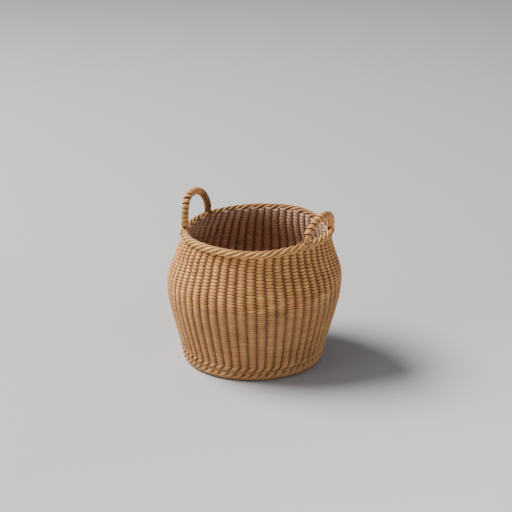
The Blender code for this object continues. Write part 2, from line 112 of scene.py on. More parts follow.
# Wanders of skeins and rods: a seed, the waves in each unit of the places, and how far the line strays
CHANGE_WANDER = (43, (2, 7, 15), 6.0)
ROW_WANDER = (5, (2, 5, 9), 0.00012)
ROW_WANDER_TWIST = 40
SKEIN_HEIGHT_WANDER = (11, (0.9, 2.3), 0.00002)
SKEIN_THICKNESS_WANDER = (12, (0.83, 1.7), 0.10)
SKEIN_DEPTH_WANDER = (13, (0.61, 1.3, 2.9), 0.00006)
SKEIN_WIDTH_WANDER = (14, (0.71, 1.93, 3.1), 0.16)
SKEIN_SEED_STEP = 7
ROPE_TURN_WANDER = (31, (3, 7, 11), 0.10)
ROD_TURN_WANDER = (77, (19, 31), 0.03)
ROD_TURN_SEED_STEP = 5
ROD_WIDTH_WANDER = (57, (5, 17, 29), 0.10)
ROD_WIDTH_SEED_STEP = 3
WRAP_REACH_WANDER = (91, (1.3, 2.9, 4.7), 0.05)
WRAP_WIDTH_WANDER = (95, (0.9, 2.1, 5.3), 0.05)

# Ropes of the rim and the foot, and the holes where the foot's strokes go in, in degrees up from outward
ROPE_STEPS = 10
ROD_SHARE = 0.90
ROD_SQUARENESS = 0.95
SUNK_ROD_SHADE = 0.38
HOLE_REACH_SHARE = 0.30
HOLE_SHADE = 0.40
HOLE_NARROWING_SHARE = 0.44
# Painted shade along the strokes' edges, stronger near the holes
HOLE_LINED = 0.22
STROKE_LINED = 0.78
CORE_STEPS_PER_COLUMN = 4
CORE_SQUARENESS = 0.8
# Shown mark of the cores: painted shade behind the strands
CORE_SHOWN = 0.3

RIM_STRAND_COUNT = 5
RIM_ROD_COUNT = 3
RIM_ROD_HALF_WIDTH = 0.00036
RIM_ROD_HALF_THICKNESS = 0.00042
RIM_ROD_SINK = 0.00042
RIM_PHASE = 0.4
RIM_CORE_REACH = 0.0010
RIM_INNER_RADIUS = RIM_RADIUS - 0.0002

BORDER_RADIUS = 0.0302
BORDER_HEIGHT = 0.0025
BORDER_HALF_UP = BORDER_HEIGHT
BORDER_HALF_OUT = 0.0023
BORDER_FLARE = 0.16
BORDER_ROUNDNESS = 0.62
BORDER_LOW_ROUNDNESS = 0.95
BORDER_STRAND_COUNT = 8
BORDER_STROKE_HALF_WIDTH = 0.00086
BORDER_STROKE_HALF_THICKNESS = 0.00042
BORDER_PHASE = 0.3
BORDER_HOLES = (34,)
BORDER_LOW_SHADE = 0.36
BORDER_CORE_HEIGHT = 0.0024
BORDER_CORE_REACH = 0.0014

WALE_RADIUS = 0.0322
WALE_HEIGHT = 0.0063
WALE_HALF_OUT = 0.0011
WALE_HALF_UP = 0.0017
WALE_FLARE = 0.30
WALE_ROUNDNESS = 0.75
WALE_STRAND_COUNT = 4
WALE_STROKE_HALF_WIDTH = 0.00096
WALE_STROKE_HALF_THICKNESS = 0.00046
WALE_PHASE = 1.1
WALE_PINCH_SHARE = 0.9
WALE_HOLES = (62, -58)
WALE_CORE_RADIUS = 0.0320
WALE_CORE_HEIGHT = 0.0061
WALE_CORE_HALF_HEIGHT = 0.0014
WALE_CORE_HALF_THICKNESS = 0.0002

# Base: two skeins wound outward from the middle
BASE_EDGE_GAP = 0.0006
BASE_HUB_RADIUS = 0.0012
BASE_PITCH = 0.00082
BASE_STEPS_PER_SPOKE = 8
BASE_HALF_THICKNESS = 0.00034
BASE_LIFT = 0.00068
BASE_LEAST_LIFT_SHARE = 0.25
BASE_LIFT_GROWTH = 2.2
BASE_WAVE_CURVE = 0.6
BASE_CROSSING_SHARE = 0.66
BASE_SPREAD_SHARE = 0.28
BASE_SQUARENESS = 0.8
# Shown mark where the base skeins cross from over to under a spoke: painted shade there
BASE_SHOWN_AT_CROSSING = 0.6
BASE_LINED = 0.9

# Handles, as the solids have them, and the shown marks of a wrap at its first and its last foot: painted
# shade, darkest at the far bow's first foot, whose leg lies in shade
NEAR_COLUMNS = (-3, 3)
NEAR_RISE = 0.0100
NEAR_LEAN = math.radians(8.0)
NEAR_SKEW = 0.0021
NEAR_TURN_COUNT = 11
NEAR_SHOWN = (0.90, 0.95)
FAR_COLUMNS = (26, 33)
FAR_RISE = 0.0166
FAR_LEAN = math.radians(-2.0)
FAR_SKEW = 0.0062
FAR_TURN_COUNT = 20
FAR_SHOWN = (0.55, 1.0)
ARCH_ROUNDNESS_SHARE = 0.88
FINE_STEP_COUNT = 600
BOW_RADIUS = 0.0008
BOW_STEP_SPACING = 6
BOW_SHOWN = 0.75
WRAP_REACH = 0.00136
WRAP_START_HEIGHT = 0.0031
WRAP_STEPS_PER_TURN = 24
WRAP_WIDTH_SHARE = 0.92
WRAP_HALF_THICKNESS = 0.00036
WRAP_SQUARENESS = 0.62
WRAP_CHANGE_START_SHARE = 0.30
WRAP_CHANGE_REACH_SHARE = 0.18

# Lashings: share of a column that each loop reaches beside a foot, and how high it crosses the foot
LASHING_LOOPS = ((0.95, 0.0035), (0.68, 0.0028), (0.42, 0.0021))
LASHING_HALF_WIDTH = 0.00048
LASHING_HALF_THICKNESS = 0.00026
LASHING_CLEARANCE = 0.0002
LASHING_SQUARENESS = 0.75
LASHING_STEPS = 6
# Lashings take the painted shade of their foot, a little lighter
LASHING_SHOWN_GAIN = 0.04
# A quarter of a loop: share of that reach beside the foot, and degrees up the rim's face from outward
LASHING_QUARTER = ((1.0, -90), (1.0, -45), (0.95, 0), (0.72, 35), (0.40, 65))

# Sides of the sections, and how the faces are laid out in the maps
SKEIN_SIDES = 8
RIM_SIDES = 10
FOOT_SIDES = 12
HANDLE_SIDES = 10
FACE_CORNERS = 4
LEAST_LENGTH = 1e-12
STRAND_MAP_GAP = 0.137
CAP_MAP_RADIUS = 0.0001
STRIP_MARGIN_SHARE = 0.08
CAP_SPOT_WIDTH_SHARE = 0.25
CAP_SPOT_MIDDLE = 1.2
CAP_SPOT_HEIGHT_SHARE = 0.3

# Where a mix node has its colours
MIX_COLOR_INPUTS = (6, 7)
MIX_COLOR_OUTPUT = 2

# Tones from dark to light, as red, green and blue
WHITE = (1.0, 1.0, 1.0)
FINE_SKEIN_TONES = ((0.33, 0.14, 0.048), (0.52, 0.26, 0.098), (0.68, 0.375, 0.152))
SKEIN_TONES = ((0.36, 0.145, 0.042), (0.63, 0.295, 0.094), (0.93, 0.505, 0.175))
FOOT_SKEIN_TONES = ((0.33, 0.145, 0.05), (0.51, 0.255, 0.10), (0.67, 0.37, 0.16))
RIM_SKEIN_TONES = ((0.36, 0.145, 0.042), (0.80, 0.405, 0.135), (1.0, 0.63, 0.25))
BASE_WEAVE_TONES = ((0.20, 0.11, 0.06), (0.32, 0.19, 0.115), (0.44, 0.28, 0.18))
HANDLE_SKEIN_TONES = ((0.34, 0.14, 0.04), (0.62, 0.30, 0.10), (0.88, 0.49, 0.18))
# Tones of the inner wall and the inner side of the rim: partly the wood's darker patina inside, partly
# painted shade and the colour of light bouncing inside
WEAVE_INSIDE_TONES = ((0.38, 0.225, 0.155), (0.585, 0.37, 0.26), (0.63, 0.42, 0.295))
RIM_INSIDE_TONES = ((0.20, 0.085, 0.035), (0.42, 0.205, 0.085), (0.72, 0.41, 0.19))
HANDLE_ROD_TONES = ((0.20, 0.085, 0.032), (0.40, 0.19, 0.075))
STAKE_TONES = ((0.13, 0.058, 0.024), (0.28, 0.13, 0.052))
BASE_STICK_TONES = ((0.18, 0.08, 0.03), (0.38, 0.19, 0.08))
# Dark tone for painted shade, with some dirt, where a strand turns in or lies in shade
SHADE_AND_GRIME_TONE = (0.075, 0.030, 0.011)

# Split wood: scales of its marks along and round a skein or by place, and how the marks mix
FIBRE_SCALE = (110, 3200, 1)
FINE_FIBRE_SCALE = (420, 15000, 1)
TONE_SCALE = (42, 0, 1)
TINT_SCALE = (330, 330, 70)
PATCH_SCALE = 110.0
SPECK_SCALE = 900.0
TONE_SHARE = 0.55
FIBRE_SHARE = 0.38
PATCH_SHARE = 0.30
TONE_OFFSET = -0.12
TONE_STOPS = (0.30, 0.52, 0.72)
TINT_STOPS = ((0.36, (1.03, 0.96, 0.99)), (0.50, WHITE), (0.64, (0.98, 1.01, 0.93)))
SPECK_STOPS = ((0.28, (0.62, 0.50, 0.42)), (0.42, WHITE))
SPECK_SHARE = 0.45
# How low the shown mark must be for the painted shade and dirt to come in, and how strong they get
SHADE_AND_GRIME_SHOWN_RANGE = (0.45, 0.98)
SHADE_AND_GRIME_SHARE = 0.80
EDGE_RANGE = (0.72, 0.96)
GRAIN_RANGE = (0.3, 0.7)
SKEIN_ROUGHNESS = (0.60, 0.48)
SKEIN_GLOSS = 0.26
FIBRE_BUMP_SHARE = 0.7
FINE_FIBRE_BUMP_SHARE = 0.3
SKEIN_BUMP_DEPTH = 0.00010
SKEIN_BUMP_STRENGTH = 0.8

# Plain wood of rods that are seen only in part
ROD_GRAIN_SCALE = (2600, 2600, 260)
ROD_PATCH_SCALE = 120.0
ROD_GRAIN_SHARE = 0.6
ROD_PATCH_SHARE = 0.4
ROD_TONE_STOPS = (0.32, 0.68)
ROD_ROUGHNESS = (0.74, 0.58)
ROD_GLOSS = 0.3
ROD_BUMP_DEPTH = 0.00005
ROD_BUMP_STRENGTH = 0.5

# Camera, as the photograph was taken. The basket leans to the photograph's right.
CAMERA_PLACE = (0.31081, -0.48646, 0.24784)
CAMERA_AHEAD = (-0.50778, 0.79705, -0.32688)
CAMERA_LENS = 94.37
CAMERA_SENSOR = 36.0
CAMERA_NEAREST = 0.01
CAMERA_FARTHEST = 20.0
CAMERA_TURN = LEAN_DIRECTION

# Floor: painted light on pale paper, its tones by distance, and how much paler it gets to the right and at
# the near right corner
FLOOR_SIZE = 6.0
FLOOR_DEPTH_RANGE = (-0.25, 1.15)
FLOOR_STOPS = (
    (0.0, (0.54, 0.54, 0.55)), (0.20, (0.458, 0.46, 0.47)),
    (0.45, (0.452, 0.454, 0.466)), (1.0, (0.505, 0.508, 0.522)),
)
FLOOR_SIDE_RANGE = (-0.15, 0.20)
FLOOR_SIDE_GAIN = (0.98, 1.07)
FLOOR_CORNER_RANGE = (0.03, 0.22)
FLOOR_CORNER_GAIN = (1.0, 1.22)
FLOOR_ROUGHNESS = 0.9
FLOOR_GLOSS = 0.1

# Lights: places right of, beyond and above the basket's foot as the camera sees it, sizes, watts and colours
SKY_COLOR = (0.93, 0.96, 1.0)
SKY_STRENGTH = 0.235
KEY_PLACE = (-0.72, 0.195, 1.03)
KEY_SIZE = (0.88, 0.53)
KEY_POWER = 37.8
KEY_COLOR = (1.0, 0.965, 0.92)
LEFT_FILL_PLACE = (-1.25, -0.60, 0.24)
LEFT_FILL_SIZE = (0.7, 0.3)
LEFT_FILL_POWER = 4.7
LEFT_FILL_COLOR = (1.0, 0.98, 0.96)
RIGHT_FILL_PLACE = (1.10, -0.65, 0.22)
RIGHT_FILL_SIZE = (0.8, 0.3)
RIGHT_FILL_POWER = 4.0
RIGHT_FILL_COLOR = (0.92, 0.97, 1.10)
LIGHT_AIM = (0.0, 0.0, 0.03)

LEAN_X = math.cos(LEAN_DIRECTION)
LEAN_Y = math.sin(LEAN_DIRECTION)
weave_low, weave_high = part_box("side_weave_upper")
WIDEST_SHIFT = RIM_SHIFT * WIDEST_HEIGHT / RIM_HEIGHT
MIDDLE_X = (weave_low.x + weave_high.x) / 2 - WIDEST_SHIFT * LEAN_X
MIDDLE_Y = (weave_low.y + weave_high.y) / 2 - WIDEST_SHIFT * LEAN_Y


def dip_share(angle, direction, reach):
    """One in the middle of a dip of the rim, easing to zero at its reach."""
    off = np.minimum(np.abs(angle - direction) / reach, 1)
    return np.cos(off * math.pi / 2) ** 2


def share_along_lean(x, y):
    """How far a place lies toward the lean, as a share of the rim's radius."""
    return (x * LEAN_X + y * LEAN_Y) / RIM_RADIUS


def lean_shift(along, height):
    """How far the body is moved toward its lean at a height, with the neck pulled in opposite."""
    neck_share = np.clip((height - RIM_HEIGHT + NECK_DEPTH) / NECK_DEPTH, 0, 1)
    return RIM_SHIFT * (height / RIM_HEIGHT) + RIM_PULL * neck_share * (1 - along) / 2


def settled(points):
    """Points of the ideal round body moved to where the leaning body has them."""
    x, y, height = points[:, 0], points[:, 1], points[:, 2]
    share = height / RIM_HEIGHT
    along = share_along_lean(x, y)
    shift = lean_shift(along, height)
    angle = np.arctan2(y, x)
    dip = NARROW_DIP * dip_share(angle, NARROW_DIP_DIRECTION, NARROW_DIP_REACH)
    dip = dip + WIDE_DIP * dip_share(angle, WIDE_DIP_DIRECTION, WIDE_DIP_REACH)
    return np.stack([
        x + MIDDLE_X + shift * LEAN_X,
        y + MIDDLE_Y + shift * LEAN_Y,
        height + RIM_RISE * share * along - dip * share ** 3,
    ], axis=1)


def placed(radius, angle, height):
    radius, angle, height = np.broadcast_arrays(radius, angle, height)
    return settled(np.stack([radius * np.cos(angle), radius * np.sin(angle), height], axis=1))


def shares_at(shares, share):
    return np.interp(share, [row[0] for row in shares], [row[1] for row in shares])


def ridge_radius(height):
    lower = shares_at(LOWER_SWELL_SHARES, height / BELLY_HEIGHT)
    upper = shares_at(UPPER_SWELL_SHARES, (height - BELLY_HEIGHT) / (RIM_HEIGHT - BELLY_HEIGHT))
    below = FOOT_RADIUS + (BELLY_RADIUS - FOOT_RADIUS) * lower
    above = RIM_RADIUS + (BELLY_RADIUS - RIM_RADIUS) * upper
    return np.where(height <= BELLY_HEIGHT, below, above)


def smooth_ridge_radius(height):
    """The ridge radius with the corners of its outline rounded."""
    offsets = np.linspace(-1, 1, OUTLINE_SAMPLE_COUNT)
    heights = [np.clip(height + OUTLINE_ROUNDING * offset, 0, RIM_HEIGHT) for offset in offsets]
    return sum(ridge_radius(near) for near in heights) / OUTLINE_SAMPLE_COUNT


def stake_radius(height):
    in_weave = smooth_ridge_radius(np.maximum(height, WEAVE_FOOT)) - WEAVE_DEPTH / 2
    share = np.clip((height - STAKE_BEND_HEIGHT) / (WEAVE_FOOT - STAKE_BEND_HEIGHT), 0, 1)
    return STAKE_BEND_RADIUS + (in_weave - STAKE_BEND_RADIUS) * share


def inner_share(points, middle):
    """One on the inner half of the wall, or of a ring round a given middle, and zero on the outer half."""
    x, y, height = points[:, 0] - MIDDLE_X, points[:, 1] - MIDDLE_Y, points[:, 2]
    shift = lean_shift(share_along_lean(x, y), height)
    radius = np.hypot(x - shift * LEAN_X, y - shift * LEAN_Y)
    return np.clip(((middle or stake_radius(height)) - radius) / INNER_EASE + 0.5, 0, 1)


def column_lean(height):
    return STAKE_LEAN * (1 - height / RIM_HEIGHT)


def unit(vectors):
    return vectors / np.maximum(np.linalg.norm(vectors, axis=1, keepdims=True), LEAST_LENGTH)


def closed_directions(points):
    """Directions along a closed line."""
    return unit(np.roll(points, -1, axis=0) - np.roll(points, 1, axis=0))


def open_directions(points):
    """Directions along a line with two ends."""
    return unit(np.gradient(points, axis=0))


def eased(values, power):
    """Keeps the sign and raises the size, so that a wave gets flatter or sharper tops."""
    return np.sign(values) * np.abs(values) ** power


def blend(first, second, share):
    return first + (second - first) * share


def wander(kind, places, seed_shift=0):
    """A smooth random line through places. It closes on itself for whole waves and places that are turns."""
    seed, waves, reach = kind
    random = np.random.default_rng(seed + seed_shift)
    total = np.zeros_like(places)
    for wave in waves:
        total += np.sin(places * wave + random.uniform(0, math.tau))
    return total * reach / len(waves)


class Strand:
    """A split rod: its middle line, the way its width lies, its half sizes and how round its section is.
    Shown is one where it lies in the open and less where it turns in or lies in shade; where it is low the
    material paints shade, with some dirt. Lined is how dark its edges are painted, as painted shade between
    strands."""

    def __init__(self, points, width_way, half_width, half_thickness, squareness, closed=False, shown=1.0,
                 lined=1.0):
        count = len(points)
        self.points = points
        self.width_way = np.broadcast_to(width_way, points.shape)
        self.half_width = np.broadcast_to(half_width, (count,))
        self.half_thickness = np.broadcast_to(half_thickness, (count,))
        self.squareness = np.broadcast_to(squareness, (count,))[:, None]
        self.closed = closed
        self.shown = np.broadcast_to(shown, (count,))
        self.lined = np.broadcast_to(lined, (count,))

    def rings(self, sides):
        """Corners of the strand's sections, as rows of points."""
        along = closed_directions(self.points) if self.closed else open_directions(self.points)
        width = unit(self.width_way - along * np.sum(self.width_way * along, axis=1, keepdims=True))
        face = np.cross(along, width)
        turn = math.tau * (np.arange(sides) + 0.5) / sides
        across = eased(np.cos(turn)[None, :], self.squareness)
        through = eased(np.sin(turn)[None, :], self.squareness)
        sideways = self.half_width[:, None, None] * across[:, :, None] * width[:, None, :]
        outward = self.half_thickness[:, None, None] * through[:, :, None] * face[:, None, :]
        return self.points[:, None, :] + sideways + outward

    def lengths(self):
        """How far along the strand each section lies, and for a closed one the whole way round too."""
        steps = np.linalg.norm(np.diff(self.points, axis=0), axis=1)
        ends = np.concatenate([[0.0], np.cumsum(steps)])
        if self.closed:
            ends = np.append(ends, ends[-1] + np.linalg.norm(self.points[0] - self.points[-1]))
        return ends


def faces_between(count, sides, closed):
    """Corner numbers of the faces between a strand's sections."""
    here = np.arange(count if closed else count - 1)[:, None]
    after = (here + 1) % count
    corner = np.arange(sides)[None, :]
    beside = (corner + 1) % sides
    return np.stack([
        here * sides + corner,
        here * sides + beside,
        after * sides + beside,
        after * sides + corner,
    ], axis=2).reshape(-1, FACE_CORNERS)


def corner_places(near, far, low, high):
    """Places of the faces' corners in a map, from where the ends and the sides of each face lie."""
    corners = ((near, low), (near, high), (far, high), (far, low))
    places = [np.stack(np.broadcast_arrays(*corner), axis=2) for corner in corners]
    return np.stack(places, axis=2).reshape(-1, 2)


def places_in_metres(strand, rings, start):
    """Places of the faces' corners in metres along and round a strand, and where the strand ends."""
    count, sides = rings.shape[:2]
    lengths = strand.lengths() + start
    girth = np.linalg.norm(np.diff(rings[count // 2], axis=0), axis=1).sum() * sides / (sides - 1)
    around = girth * np.arange(sides + 1) / sides
    places = corner_places(lengths[:-1, None], lengths[1:, None], around[None, :-1], around[None, 1:])
    return places, lengths[-1]


def places_in_strips(metres, sides):
    """Places of the faces' corners in a square filled with strips of strand, spans in a strip, and strips."""
    spans = len(metres) // FACE_CORNERS // sides
    girth = float(metres[:sides * FACE_CORNERS, 1].max())
    span_length = float(np.median(np.abs(metres[2::FACE_CORNERS, 0] - metres[0::FACE_CORNERS, 0])))
    per_strip = max(1, int(math.sqrt(spans * girth / span_length)))
    strips = math.ceil(spans / per_strip)
    number = np.arange(spans)[:, None]
    left = (number % per_strip) / per_strip
    right = left + 1 / per_strip
    level = number // per_strip
    corner = np.arange(sides)[None, :]
    room = 1 - 2 * STRIP_MARGIN_SHARE
    low = (level + STRIP_MARGIN_SHARE + room * corner / sides) / strips
    high = (level + STRIP_MARGIN_SHARE + room * (corner + 1) / sides) / strips
    return corner_places(left, right, low, high), per_strip, strips


def mesh_of(name, points, quads, cap_corners, sides):
    """A mesh of faces between sections, with a cap at the start and at the end of each open strand."""
    mesh = bpy.data.meshes.new(name)
    mesh.vertices.add(len(points))
    mesh.vertices.foreach_set("co", points.astype(np.float32).ravel())
    caps = []
    for number, first in enumerate(cap_corners):
        ring = np.arange(sides) + first
        caps.append(ring[::-1] if number % 2 == 0 else ring)
    corners = np.concatenate([quads.ravel()] + caps).astype(np.int32)
    mesh.loops.add(len(corners))
    mesh.loops.foreach_set("vertex_index", corners)
    starts = np.concatenate([
        np.arange(len(quads)) * FACE_CORNERS,
        len(quads) * FACE_CORNERS + np.arange(len(caps)) * sides,
    ]).astype(np.int32)
    mesh.polygons.add(len(starts))
    mesh.polygons.foreach_set("loop_start", starts)
    mesh.update(calc_edges=True)
    mesh.validate()
    mesh.shade_smooth()
    return mesh


def add_map(mesh, name, places, caps):
    """A map with the places of the faces' corners first and those of the caps after them."""
    layer = mesh.uv_layers.new(name=name)
    layer.data.foreach_set("uv", np.concatenate([places] + caps).astype(np.float32).ravel())
    return layer


def add_maps(mesh, metres, cap_places, sides):
    """A map in metres along and round the strands, for fibres, and a map of packed strips, for baking."""
    turn = math.tau * np.arange(sides) / sides
    caps = []
    for place in cap_places:
        caps.append(np.stack([
            place + CAP_MAP_RADIUS * np.cos(turn),
            CAP_MAP_RADIUS * (1 + np.sin(turn)),
        ], axis=1))
    strand_map = add_map(mesh, "Strand", metres, caps)
    places, per_strip, strips = places_in_strips(metres, sides)
    spot = CAP_SPOT_WIDTH_SHARE / per_strip
    cap = np.stack([
        spot * (CAP_SPOT_MIDDLE + np.cos(turn)),
        (0.5 + CAP_SPOT_HEIGHT_SHARE * np.sin(turn)) / strips,
    ], axis=1)
    add_map(mesh, "OFBake", places, [cap] * len(caps))
    mesh.uv_layers.active = strand_map


def add_piece(name, strands, looks, slot, node, sides=SKEIN_SIDES, middle=None):
    """One piece of several strands, with the look of its slot, in the place of one node of the solids."""
    points, quads, metres, shown, edges, cap_corners, cap_places = [], [], [], [], [], [], []
    edge = np.abs(np.cos(math.tau * (np.arange(sides) + 0.5) / sides))
    base = 0
    start = 0.0
    for strand in strands:
        rings = strand.rings(sides)
        count = len(rings)
        points.append(rings.reshape(-1, 3))
        quads.append(faces_between(count, sides, strand.closed) + base)
        places, end = places_in_metres(strand, rings, start)
        metres.append(places)
        shown.append(np.repeat(strand.shown, sides))
        edges.append((strand.lined[:, None] * edge[None, :]).ravel())
        if not strand.closed:
            cap_corners += [base, base + (count - 1) * sides]
            cap_places += [start, end]
        base += count * sides
        start = end + STRAND_MAP_GAP
    points = np.concatenate(points)

    mesh = mesh_of(name, points, np.concatenate(quads), cap_corners, sides)
    add_maps(mesh, np.concatenate(metres), cap_places, sides)
    marks = {
        "shown": np.concatenate(shown),
        "edge": np.concatenate(edges),
        "inner": inner_share(points, middle),
    }
    for key, values in marks.items():
        mark = mesh.attributes.new(key, "FLOAT", "POINT")
        mark.data.foreach_set("value", values.astype(np.float32))
    mesh.materials.append(looks[slot])
    piece = bpy.data.objects.new(name, mesh)
    bpy.context.scene.collection.objects.link(piece)
    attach(piece, "root")
    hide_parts(node)


class Nodes:
    """Short words for building one material."""

    def __init__(self, name):
        self.material = bpy.data.materials.new(name)
        self.material.use_nodes = True
        self.tree = self.material.node_tree
        self.shader = self.tree.nodes["Principled BSDF"]

    def add(self, kind, **settings):
        node = self.tree.nodes.new(kind)
        for key, value in settings.items():
            setattr(node, key, value)
        return node

    def link(self, source, target):
        self.tree.links.new(source, target)

    def value(self, socket, value):
        if hasattr(value, "is_linked"):
            self.link(value, socket)
        else:
            socket.default_value = value

    def mark(self, name):
        """A mark that the pieces' points carry."""
        return self.add("ShaderNodeAttribute", attribute_name=name).outputs["Fac"]

    def object_place(self):
        return self.add("ShaderNodeTexCoord").outputs["Object"]

    def mapping(self, source, scale=(1.0, 1.0, 1.0), turn=0.0):
        node = self.add("ShaderNodeMapping")
        self.link(source, node.inputs["Vector"])
        node.inputs["Scale"].default_value = scale
        node.inputs["Rotation"].default_value = (0.0, 0.0, turn)
        return node.outputs["Vector"]

    def noise(self, vector, scale=1.0, detail=2.0, rough=0.5):
        node = self.add("ShaderNodeTexNoise")
        self.link(vector, node.inputs["Vector"])
        node.inputs["Scale"].default_value = scale
        node.inputs["Detail"].default_value = detail
        node.inputs["Roughness"].default_value = rough
        return node.outputs["Fac"]

    def math(self, operation, first, second):
        node = self.add("ShaderNodeMath", operation=operation)
        self.value(node.inputs[0], first)
        self.value(node.inputs[1], second)
        return node.outputs[0]

    def weighed(self, first, first_share, second, second_share):
        """The sum of two marks, each times its share."""
        first = self.math("MULTIPLY", first, first_share)
        return self.math("ADD", first, self.math("MULTIPLY", second, second_share))

    def ramp(self, factor, *stops):
        node = self.add("ShaderNodeValToRGB")
        self.link(factor, node.inputs["Fac"])
        elements = node.color_ramp.elements
        while len(elements) < len(stops):
            elements.new(0.5)
        for element, (place, color) in zip(elements, stops):
            element.position = place
            element.color = (*color, 1.0)
        return node.outputs["Color"]

    def mix(self, factor, first, second, kind="MIX"):
        node = self.add("ShaderNodeMix", data_type="RGBA", blend_type=kind)
        self.value(node.inputs["Factor"], factor)
        for number, color in zip(MIX_COLOR_INPUTS, (first, second)):
            if isinstance(color, tuple):
                node.inputs[number].default_value = (*color, 1.0)
            else:
                self.link(color, node.inputs[number])
        return node.outputs[MIX_COLOR_OUTPUT]

    def times(self, first, second, share=1.0):
        return self.mix(share, first, second, "MULTIPLY")

    def remap(self, source, low, high, to_low, to_high):
        node = self.add("ShaderNodeMapRange")
        self.link(source, node.inputs["Value"])
        for key, value in (("From Min", low), ("From Max", high), ("To Min", to_low), ("To Max", to_high)):
            node.inputs[key].default_value = value
        return node.outputs["Result"]

    def surface(self, color, roughness, gloss):
        """Sets the colour, the roughness and the gloss, and returns the material."""
        self.link(color, self.shader.inputs["Base Color"])
        self.value(self.shader.inputs["Roughness"], roughness)
        self.shader.inputs["Specular IOR Level"].default_value = gloss
        return self.material

    def bump(self, height, depth, strength):
        node = self.add("ShaderNodeBump")
        node.inputs["Strength"].default_value = strength
        node.inputs["Distance"].default_value = depth
        self.link(height, node.inputs["Height"])
        self.link(node.outputs["Normal"], self.shader.inputs["Normal"])


def split_wood(name, tones, paler=0.0, line=0.0, inner_tones=None):
    """Split willow: long fibres, tones that change along it, painted shade with some dirt where it turns in
    or lies in shade, and painted shade along its edges.
    """
    nodes = Nodes(name)
    strand = nodes.add("ShaderNodeUVMap", uv_map="Strand").outputs["UV"]
    place = nodes.object_place()
    fibres = nodes.noise(nodes.mapping(strand, FIBRE_SCALE), detail=3.0, rough=0.6)
    fine_fibres = nodes.noise(nodes.mapping(strand, FINE_FIBRE_SCALE))
    tone = nodes.noise(nodes.mapping(strand, TONE_SCALE))
    patch = nodes.noise(place, PATCH_SCALE, detail=3.0, rough=0.55)
    speck = nodes.noise(place, SPECK_SCALE)

    mixed = nodes.weighed(tone, TONE_SHARE, fibres, FIBRE_SHARE)
    mixed = nodes.math("ADD", mixed, nodes.math("MULTIPLY", patch, PATCH_SHARE))
    mixed = nodes.math("ADD", mixed, TONE_OFFSET + paler)
    color = nodes.ramp(mixed, *zip(TONE_STOPS, tones))
    # On the inner half the colour turns to the inside tones: painted shade of the inner wall, with some
    # patina
    if inner_tones:
        color = nodes.mix(nodes.mark("inner"), color, nodes.ramp(mixed, *zip(TONE_STOPS, inner_tones)))
    tint = nodes.noise(nodes.mapping(place, TINT_SCALE), detail=1.0)
    color = nodes.times(color, nodes.ramp(tint, *TINT_STOPS))
    color = nodes.times(color, nodes.ramp(speck, *SPECK_STOPS), SPECK_SHARE)
    # Painted shade, with some dirt, where the shown mark is low: in valleys, behind strands and on shaded
    # parts
    hidden = nodes.remap(nodes.mark("shown"), *SHADE_AND_GRIME_SHOWN_RANGE, 1.0, 0.0)
    shade_and_grime = nodes.math("MULTIPLY", hidden, SHADE_AND_GRIME_SHARE)
    # Painted shade along the edges of each strand, where it meets its neighbours
    if line:
        shade_and_grime = nodes.math("MAXIMUM", shade_and_grime, nodes.remap(nodes.mark("edge"), *EDGE_RANGE, 0.0, line))
    color = nodes.mix(shade_and_grime, color, SHADE_AND_GRIME_TONE)
    height = nodes.weighed(fibres, FIBRE_BUMP_SHARE, fine_fibres, FINE_FIBRE_BUMP_SHARE)
    nodes.bump(height, SKEIN_BUMP_DEPTH, SKEIN_BUMP_STRENGTH)
    return nodes.surface(color, nodes.remap(fibres, *GRAIN_RANGE, *SKEIN_ROUGHNESS), SKEIN_GLOSS)


def plain_wood(name, tones):
    """Split rods seen only in part: grain along the rod by place, and darker blotches."""
    nodes = Nodes(name)
    place = nodes.object_place()
    grain = nodes.noise(nodes.mapping(place, ROD_GRAIN_SCALE), detail=3.0, rough=0.6)
    patch = nodes.noise(place, ROD_PATCH_SCALE, detail=3.0)
    mixed = nodes.weighed(grain, ROD_GRAIN_SHARE, patch, ROD_PATCH_SHARE)
    color = nodes.ramp(mixed, *zip(ROD_TONE_STOPS, tones))
    nodes.bump(grain, ROD_BUMP_DEPTH, ROD_BUMP_STRENGTH)
    return nodes.surface(color, nodes.remap(grain, *GRAIN_RANGE, *ROD_ROUGHNESS), ROD_GLOSS)


def make_looks():
    """The materials by the names of their slots. A line is how dark the edges of a skein are painted, as
    painted shade in the grooves between strands.
    """
    return {
        "fine_skein": split_wood(
            "fine split skein", FINE_SKEIN_TONES, line=0.34, inner_tones=WEAVE_INSIDE_TONES),
        "skein": split_wood(
            "split skein", SKEIN_TONES, paler=0.03, line=0.14, inner_tones=WEAVE_INSIDE_TONES),
        "foot_skein": split_wood("foot skein", FOOT_SKEIN_TONES, line=0.80),
        "rim_skein": split_wood(
            "rim skein", RIM_SKEIN_TONES, paler=0.05, line=0.85, inner_tones=RIM_INSIDE_TONES),
        "base_weave": split_wood("base rounds", BASE_WEAVE_TONES),
        "handle_skein": split_wood("handle skein", HANDLE_SKEIN_TONES, paler=0.01, line=0.95),
        "handle_rod": plain_wood("handle rod", HANDLE_ROD_TONES),
        "stake": plain_wood("stake wood", STAKE_TONES),
        "base_stick": plain_wood("base stick wood", BASE_STICK_TONES),
    }


def row_height(row):
    """Height of a row of the side weave: fine rows, then coarse ones, each slightly taller than the last."""
    def band(rows, count, low, high, growth):
        share = rows / count
        return low + (high - low) * ((1 - growth) * share + growth * share * np.abs(share))

    lower = band(row, LOWER_ROW_COUNT, WEAVE_FOOT, WEAVE_CHANGE_HEIGHT, ROW_GROWTH_SHARES[0])
    upper = band(row - LOWER_ROW_COUNT, UPPER_ROW_COUNT, WEAVE_CHANGE_HEIGHT, WEAVE_TOP, ROW_GROWTH_SHARES[1])
    return np.where(row <= LOWER_ROW_COUNT, lower, upper)


